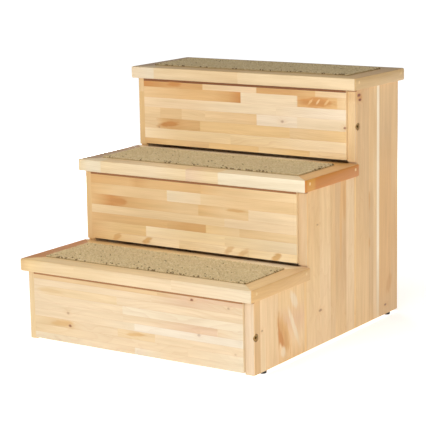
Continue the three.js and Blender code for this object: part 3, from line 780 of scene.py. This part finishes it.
def colour_panels():
    paint("side_panel_right", pine("pine_side_right", "z", "y", SIDE_STAVES, SIDE_KNOTS, SIDE_FLAMES,
                                   SIDE_TINT, front_light_tint=SIDE_FRONT_LIGHT_TINTS["right"],
                                   knot_length=SIDE_KNOT_LENGTH))
    staves = made_up_staves("side_panel_left", SIDE_SPAN, SIDE_RUN)
    paint("side_panel_left", pine("pine_side_left", "z", "y", staves, LEFT_KNOTS, LEFT_FLAMES,
                                  front_light_tint=SIDE_FRONT_LIGHT_TINTS["left"]))
    staves = made_up_staves("back_panel", BACK_SPAN, BACK_RUN)
    paint("back_panel", pine("pine_back", "x", "z", staves, BACK_KNOTS, BACK_FLAMES))


def colour_boards():
    """Gives every wooden CAD node its own pine."""
    for step in STEPS:
        colour_riser(step)
        colour_cleats(step)
    colour_frames()
    colour_panels()


# ---- Fittings ----

# Ramps of (place, sRGB colour)
YELLOW_ZINC = ((0.30, (112, 78, 40)), (0.50, (168, 128, 68)), (0.70, (138, 124, 80)))
ZINC_STEEL = ((0.3, (150, 152, 156)), (0.7, (206, 208, 210)))
PLY_THICKNESS = 1.4         # mm


def yellow_zinc():
    """Yellow passivated zinc: blotches of brown, gold and green."""
    graph, shader, material = new_material("yellow_zinc")
    place = graph.position()
    cloud = speckle(graph, place, (1 / 3, 1 / 3, 1 / 3), 4.0)
    grit = speckle(graph, place, (3, 3, 3))
    set_surface(graph, shader, graph.ramp(cloud, YELLOW_ZINC), 0.30 + grit * 0.16, grit, 0.02)
    shader.inputs["Metallic"].default_value = 1.0
    return material


def zinc_steel():
    graph, shader, material = new_material("zinc_steel")
    cloud = speckle(graph, graph.position(), (0.5, 0.5, 0.5), 4.0)
    set_surface(graph, shader, graph.ramp(cloud, ZINC_STEEL), 0.32 + cloud * 0.2)
    shader.inputs["Metallic"].default_value = 1.0
    return material


def black_plastic():
    """Matt black, scuffed grey near the floor."""
    graph, shader, material = new_material("black_plastic")
    place = graph.position()
    grit = speckle(graph, place, (2.2, 2.2, 2.2), 3.0)
    scuff = speckle(graph, place, (0.5, 0.5, 1 / 0.6), 3.0).between(0.5, 0.75)
    colour = graph.mix(scuff, linear((26, 26, 27)), linear((58, 57, 55)))
    set_surface(graph, shader, colour, 0.45 + grit * 0.25, grit, 0.04)
    return material


def beech():
    """Dowel beech: fine grain along x and short dark flecks."""
    graph, shader, material = new_material("beech")
    place = graph.position()
    fibres = speckle(graph, place, (1 / 12, 2, 2), 3.0)
    flecks = speckle(graph, place, (0.5, 5, 5)).between(0.62, 0.72)
    colour = graph.mix(fibres, linear((226, 186, 146)), linear((198, 152, 110)))
    colour = graph.mix(flecks * 0.5, colour, linear((150, 100, 64)))
    set_surface(graph, shader, colour, 0.6 + fibres * 0.2, fibres, 0.05)
    return material


def plywood():
    """Rotary-cut birch faces, and light and dark plies in turn on the edges."""
    graph, shader, material = new_material("plywood")
    place = graph.position()
    rings = (speckle(graph, place, (1 / 90, 1 / 22, 0), 3.0) * 9.0).fraction()
    fibres = speckle(graph, place, (0.1, 1.6, 1), 3.0)
    face = graph.mix(rings ** 2.0 * 0.5 + fibres * 0.3, linear((232, 204, 164)), linear((200, 160, 114)))
    ply = (place["z"] / (2 * PLY_THICKNESS)).fraction().above(0.5)
    edge = graph.mix(ply, linear((206, 166, 118)), linear((160, 116, 76)))
    faces_up = abs(graph.normal()["z"]).above(0.5)
    set_surface(graph, shader, graph.mix(faces_up, edge, face), 0.62 + fibres * 0.2, fibres, 0.06)
    return material


def colour_fittings():
    """Gives the plywood panels and every fitting their materials."""
    panel = plywood()
    for step in STEPS:
        paint(f"tread_{step}_panel", panel)
    steel = zinc_steel()
    fittings = {
        "bolt_": yellow_zinc(),
        "barrel_nut_": steel,
        "tread_screw_": steel,
        "foot_nail_": steel,
        "foot_": black_plastic(),
        "dowel_": beech(),
    }
    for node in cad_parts:
        prefix = next((prefix for prefix in fittings if node.startswith(prefix)), None)
        if prefix:
            paint(node, fittings[prefix])


# ---- Meshes ----

def mesh_piece(name, points, faces, material, smooth=True):
    """A new mesh object in the row frame that rides on the stairs."""
    mesh = bpy.data.meshes.new(name)
    mesh.from_pydata([tuple(p) for p in points], [], faces)
    mesh.polygons.foreach_set("use_smooth", [smooth] * len(mesh.polygons))
    mesh.materials.append(material)
    piece = bpy.data.objects.new(name, mesh)
    bpy.context.scene.collection.objects.link(piece)
    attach(piece, "root")
    return piece


def tube_faces(rings, sides):
    """Quads and two end caps of a tube whose points are given ring by ring."""
    faces = []
    for ring in range(rings - 1):
        for k in range(sides):
            a = ring * sides + k
            b = ring * sides + (k + 1) % sides
            faces.append((a, b, b + sides, a + sides))
    faces.append(tuple(reversed(range(sides))))
    faces.append(tuple(range((rings - 1) * sides, rings * sides)))
    return faces


# ---- Corner pins ----

PIN_RADIUS = 2.3 * MM
PIN_PROUD = 0.15 * MM
PIN_DEPTH = 3.0 * MM
PIN_INSET = 13 * MM         # from the tread's front or rear edge
PIN_DROP = 6.5 * MM         # below the tread's top
PIN_SIDES = 20
PIN_DOME = (0, 30, 60, 80)  # degrees, from the rim towards the middle


def pin_material():
    graph, shader, material = new_material("corner_pin")
    rings = speckle(graph, graph.position(), (1 / 8, 1.8, 1.8), 3.0)
    colour = graph.mix(rings, linear((244, 212, 152)), linear((222, 178, 116)))
    set_surface(graph, shader, colour, 0.4 + rings * 0.2, rings, 0.04)
    return material


def corner_pin(name, centre, side, material):
    """A domed peg whose end shows on a tread's end face. centre lies on that face."""
    rings = [(PIN_RADIUS, -PIN_DEPTH)]
    for angle in PIN_DOME:
        slope = math.radians(angle)
        rings.append((PIN_RADIUS * math.cos(slope), PIN_PROUD * math.sin(slope)))
    points = []
    for radius, out in rings:
        for k in range(PIN_SIDES):
            turn = 2 * math.pi * k / PIN_SIDES
            across = radius * math.cos(turn) * side
            points.append(centre + Vector((side * out, across, radius * math.sin(turn))))
    piece = mesh_piece(name, points, tube_faces(len(rings), PIN_SIDES), material)


def corner_pins():
    material = pin_material()
    for step in STEPS:
        low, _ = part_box(f"tread_{step}_front")
        _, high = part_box(f"tread_{step}_rear")
        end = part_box(f"tread_{step}_right")[1].x
        for place, y in (("front", low.y + PIN_INSET), ("rear", high.y - PIN_INSET)):
            for side_name, side in SIDES.items():
                centre = Vector((side * end, y, high.z - PIN_DROP))
                corner_pin(f"corner_pin_{step}_{side_name}_{place}", centre, side, material)


# ---- Carpet ----

BACKING_THICKNESS = 1.0 * MM
BACKING_CORNER = 4 * MM     # radius
BACKING_CORNER_STEPS = 4
WEAVE_PITCH = 1.6           # mm
LOOP_PITCH_X = 3.2 * MM
LOOP_PITCH_Y = 2.4 * MM
LOOP_HEIGHT = 2.1 * MM      # above the backing
LOOP_SPAN = 1.2 * MM        # half the distance between a loop's feet
YARN_RADIUS = 0.8 * MM
YARN_SIDES = 5
LOOP_STEPS = 4
LOOP_JITTER = 0.16          # of the pitch
LOOP_TURN = 0.5             # radians
LOOP_LEAN = 0.35 * MM
LOWEST_LOOP = 0.78          # of the loop height
FIRST_SEED = 11
DARK_LOOPS = 0.006          # share of dark loops
DARK_LOOPS_AT_EDGE = 0.5    # more of them along the front and right edges, partly painted shade there
DARK_EDGE_WIDTH = 5 * MM
PATCH_LENGTHS = (0.009, 0.023, 0.041)   # metres, of the waves that make patches of dark loops
PATCH_SPAN = 2.5            # rise of the waves' sum from no patch to a full one
EDGE_INSET = 1.3 * MM
# Painted shade: the upper carpet darker, the middle a little, as they are lit
YARN_PAINTED_SHADE = {"lower": 0.96, "middle": 0.87, "upper": 0.66}
YARN_TONES = (              # ramp of (loop's shade, sRGB colour)
    (0.00, (138, 112, 72)), (0.20, (204, 178, 128)), (0.50, (222, 197, 148)),
    (0.80, (230, 206, 158)), (1.00, (240, 220, 176)),
)
LEAST_SHADE = 0.25          # of the loops that aren't dark
SHADE_SHAPE = 2.2           # of the beta distribution of their shades


def carpet_yarn(step):
    """Khaki yarn in mixed shades: each loop has its own, and the fibres show along it."""
    graph, shader, material = new_material(f"carpet_yarn_{step}")
    shade = Wire(graph, graph.add("Attribute", attribute_name="yarn").outputs["Fac"])
    place = graph.position()
    fuzz = speckle(graph, place, (4, 4, 4), 3.0)
    worn = speckle(graph, place, (1 / 30, 1 / 18, 0), 3.0)
    # painted shade: each step's yarn is darkened by its own amount
    strength = (0.84 + fuzz * 0.20 + worn * 0.12) * YARN_PAINTED_SHADE[step]
    grey = graph.vector(strength, strength, strength)
    colour = graph.mix(1.0, graph.ramp(shade, YARN_TONES), grey, "MULTIPLY")
    set_surface(graph, shader, colour, 0.86 + fuzz * 0.1, fuzz, 0.15)
    shader.inputs["Specular IOR Level"].default_value = 0.2
    shader.inputs["Sheen Weight"].default_value = 0.15
    shader.inputs["Sheen Roughness"].default_value = 0.5
    return material


def carpet_backing():
    """Woven backing: light and dark where the threads cross."""
    graph, shader, material = new_material("carpet_backing")
    place = graph.position()
    threads = [abs((place[axis] / WEAVE_PITCH).fraction() - 0.5) for axis in "xy"]
    weave = threads[0] + threads[1]
    colour = graph.mix(weave, linear((150, 126, 86)), linear((190, 164, 120)))
    set_surface(graph, shader, colour, 0.85 + weave * 0.1, weave, 0.2)
    return material


def backing_outline(low, high):
    """Points round a rectangle with rounded corners."""
    left, right = low.x + BACKING_CORNER, high.x - BACKING_CORNER
    front, rear = low.y + BACKING_CORNER, high.y - BACKING_CORNER
    points = []
    for x, y, start in ((right, front, -90), (right, rear, 0), (left, rear, 90), (left, front, 180)):
        for k in range(BACKING_CORNER_STEPS + 1):
            turn = math.radians(start + 90 * k / BACKING_CORNER_STEPS)
            points.append((x + BACKING_CORNER * math.cos(turn), y + BACKING_CORNER * math.sin(turn)))
    return points


def backing_piece(step, material):
    low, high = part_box(f"carpet_{step}")
    outline = backing_outline(low, high)
    points = [(x, y, z) for z in (low.z, low.z + BACKING_THICKNESS) for x, y in outline]
    piece = mesh_piece(f"carpet_backing_{step}", points, tube_faces(2, len(outline)), material, smooth=False)
    return piece


def loop_grid(low, high, chance):
    """Places of a carpet's loops, in loose rows."""
    left, right = low.x + EDGE_INSET, high.x - EDGE_INSET
    front, rear = low.y + EDGE_INSET, high.y - EDGE_INSET
    columns = int((high.x - low.x - 2 * EDGE_INSET) / LOOP_PITCH_X) + 1
    lines = int((high.y - low.y - 2 * EDGE_INSET) / LOOP_PITCH_Y) + 1
    x, y = np.meshgrid(np.linspace(left, right, columns), np.linspace(front, rear, lines))
    x = (x + chance.normal(0, LOOP_JITTER, x.shape) * LOOP_PITCH_X).ravel().clip(left, right)
    y = (y + chance.normal(0, LOOP_JITTER, y.shape) * LOOP_PITCH_Y).ravel().clip(front, rear)
    return x, y


def patches(place, chance):
    """Slow changes between 0 and 1 along a carpet's edge."""
    waves = sum(np.sin(place / length + chance.uniform(0, 2 * math.pi)) for length in PATCH_LENGTHS)
    return np.clip(0.5 + waves / PATCH_SPAN, 0, 1)


def loop_shades(x, y, low, high, chance):
    """Shade of each loop from 0 to 1. The dark ones are 0, partly painted shade, and most lie by the front
    and right edges.
    """
    shade = LEAST_SHADE + (1 - LEAST_SHADE) * chance.beta(SHADE_SHAPE, SHADE_SHAPE, len(x))
    edge_distance = np.minimum(y - low.y, high.x - x)
    near_edge = DARK_LOOPS_AT_EDGE * np.exp(-edge_distance / DARK_EDGE_WIDTH)
    dark_share = DARK_LOOPS + near_edge * patches(x + y, chance)
    shade[chance.random(len(x)) < dark_share] = 0.0
    return shade


def loop_points(x, y, turn, height, lean, base):
    """Points of the loops' yarn, loop by loop and ring by ring: half hoops that stand on base."""
    x, y, turn, rise, lean = (values[:, None, None] for values in (x, y, turn, height - YARN_RADIUS, lean))
    arc = np.linspace(0, math.pi, LOOP_STEPS)[None, :, None]
    around = np.linspace(0, 2 * math.pi, YARN_SIDES, endpoint=False)[None, None, :]
    outward = YARN_RADIUS * np.cos(around)
    along = -np.cos(arc) * (LOOP_SPAN + outward)
    aside = np.sin(arc) * lean + YARN_RADIUS * np.sin(around)
    up = base + np.sin(arc) * (rise + outward)
    x = x + along * np.cos(turn) - aside * np.sin(turn)
    y = y + along * np.sin(turn) + aside * np.cos(turn)
    return np.stack([x, y, up], axis=-1).reshape(-1, 3)


def pile_piece(step, material):
    """Closed yarn loops in loose rows over one carpet's backing. Their feet stand halfway into it."""
    low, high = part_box(f"carpet_{step}")
    chance = np.random.default_rng(STEPS.index(step) + FIRST_SEED)
    x, y = loop_grid(low, high, chance)
    count = len(x)
    turn = chance.normal(0, LOOP_TURN, count)
    height = LOOP_HEIGHT * chance.uniform(LOWEST_LOOP, 1.0, count)
    lean = chance.normal(0, LOOP_LEAN, count)
    shade = loop_shades(x, y, low, high, chance)
    sunk = BACKING_THICKNESS / 2
    points = loop_points(x, y, turn, height + sunk, lean, low.z + sunk)
    size = LOOP_STEPS * YARN_SIDES
    one_loop = tube_faces(LOOP_STEPS, YARN_SIDES)
    faces = [tuple(point + n * size for point in face) for n in range(count) for face in one_loop]
    piece = mesh_piece(f"carpet_pile_{step}", points, faces, material)
    yarn = piece.data.attributes.new("yarn", "FLOAT", "POINT")
    yarn.data.foreach_set("value", np.repeat(shade, size).astype(np.float32))
    return piece


def carpets():
    backing = carpet_backing()
    for step in STEPS:
        pile = pile_piece(step, carpet_yarn(step))
        sheet = backing_piece(step, backing)
        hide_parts(f"carpet_{step}")


# ---- Studio ----

def outside(graph, place, half_sizes, back=0.0):
    """1 outside a rectangle on the floor and 0 inside it."""
    half_width, half_depth = half_sizes
    return graph.math("MAXIMUM", abs(place["x"]).above(half_width), abs(place["y"] - back).above(half_depth))


def floor_material():
    """White with a faint glow, and dark under the stairs so that no light wells up inside them."""
    graph, shader, material = new_material("floor")
    place = graph.split(graph.add("TexCoord").outputs["Object"], 1)
    shader.inputs["Roughness"].default_value = 1.0
    shader.inputs["Specular IOR Level"].default_value = 0.0
    shader.inputs["Emission Color"].default_value = (1, 1, 1, 1)
    outside_rim = outside(graph, place, FLOOR_RIM)
    outside_dark = outside(graph, place, FLOOR_DARK, FLOOR_DARK_BACK)
    grey = FLOOR_DARK_GREY + outside_dark * (FLOOR_GREY - FLOOR_DARK_GREY)
    graph.set(shader.inputs["Base Color"], graph.vector(grey, grey, grey))
    reach = hypotenuse(place["x"], place["y"])
    far = reach.between(FLOOR_FAR_START, FLOOR_FAR_START + FLOOR_FAR_SPAN)
    rim_glow = (outside_dark - outside_rim) * FLOOR_RIM_GLOW
    glow = outside_rim * (FLOOR_GLOW + far * FLOOR_FAR_GLOW) + rim_glow
    graph.set(shader.inputs["Emission Strength"], glow)
    return material


def floor():
    mesh = bpy.data.meshes.new("floor")
    turns = [2 * math.pi * k / FLOOR_SIDES for k in range(FLOOR_SIDES)]
    points = [(FLOOR_RADIUS * math.cos(turn), FLOOR_RADIUS * math.sin(turn), 0) for turn in turns]
    mesh.from_pydata(points, [], [tuple(range(FLOOR_SIDES))])
    mesh.materials.append(floor_material())
    ground = bpy.data.objects.new("floor", mesh)
    bpy.context.scene.collection.objects.link(ground)


def lights():
    scene = bpy.context.scene
    scene.view_settings.view_transform = "Standard"
    world = bpy.data.worlds.new("studio")
    world.use_nodes = True
    background = world.node_tree.nodes["Background"]
    background.inputs["Color"].default_value = (1, 1, 1, 1)
    background.inputs["Strength"].default_value = WORLD_STRENGTH
    scene.world = world
    for name, (place, size, power) in SOFT_BOXES.items():
        data = bpy.data.lights.new(name, "AREA")
        data.shape = "RECTANGLE"
        data.size, data.size_y = size
        data.energy = power
        lamp = bpy.data.objects.new(name, data)
        lamp.location = place
        lamp.rotation_euler = (Vector(LIGHT_TARGET) - Vector(place)).to_track_quat("-Z", "Y").to_euler()
        lamp.visible_glossy = name != "rear"
        scene.collection.objects.link(lamp)


def camera():
    azimuth, elevation, roll = (math.radians(v) for v in (CAMERA_AZIMUTH, CAMERA_ELEVATION, CAMERA_ROLL))
    back = Vector((math.sin(azimuth) * math.cos(elevation), -math.cos(azimuth) * math.cos(elevation),
                   math.sin(elevation)))
    level = Vector((0, 0, 1)).cross(back).normalized()
    upright = back.cross(level)
    right = math.cos(roll) * level + math.sin(roll) * upright
    up = math.cos(roll) * upright - math.sin(roll) * level
    data = bpy.data.cameras.new("camera")
    data.lens = CAMERA_LENS
    data.sensor_width = SENSOR_WIDTH
    piece = bpy.data.objects.new("camera", data)
    turn = Matrix((right, up, back)).transposed().to_4x4()
    piece.matrix_world = Matrix.Translation(Vector(CAMERA_TARGET) + CAMERA_DISTANCE * back) @ turn
    bpy.context.scene.collection.objects.link(piece)
    bpy.context.scene.camera = piece


camera()
lights()
floor()
colour_boards()
colour_fittings()
corner_pins()
carpets()

bpy.context.view_layer.update()
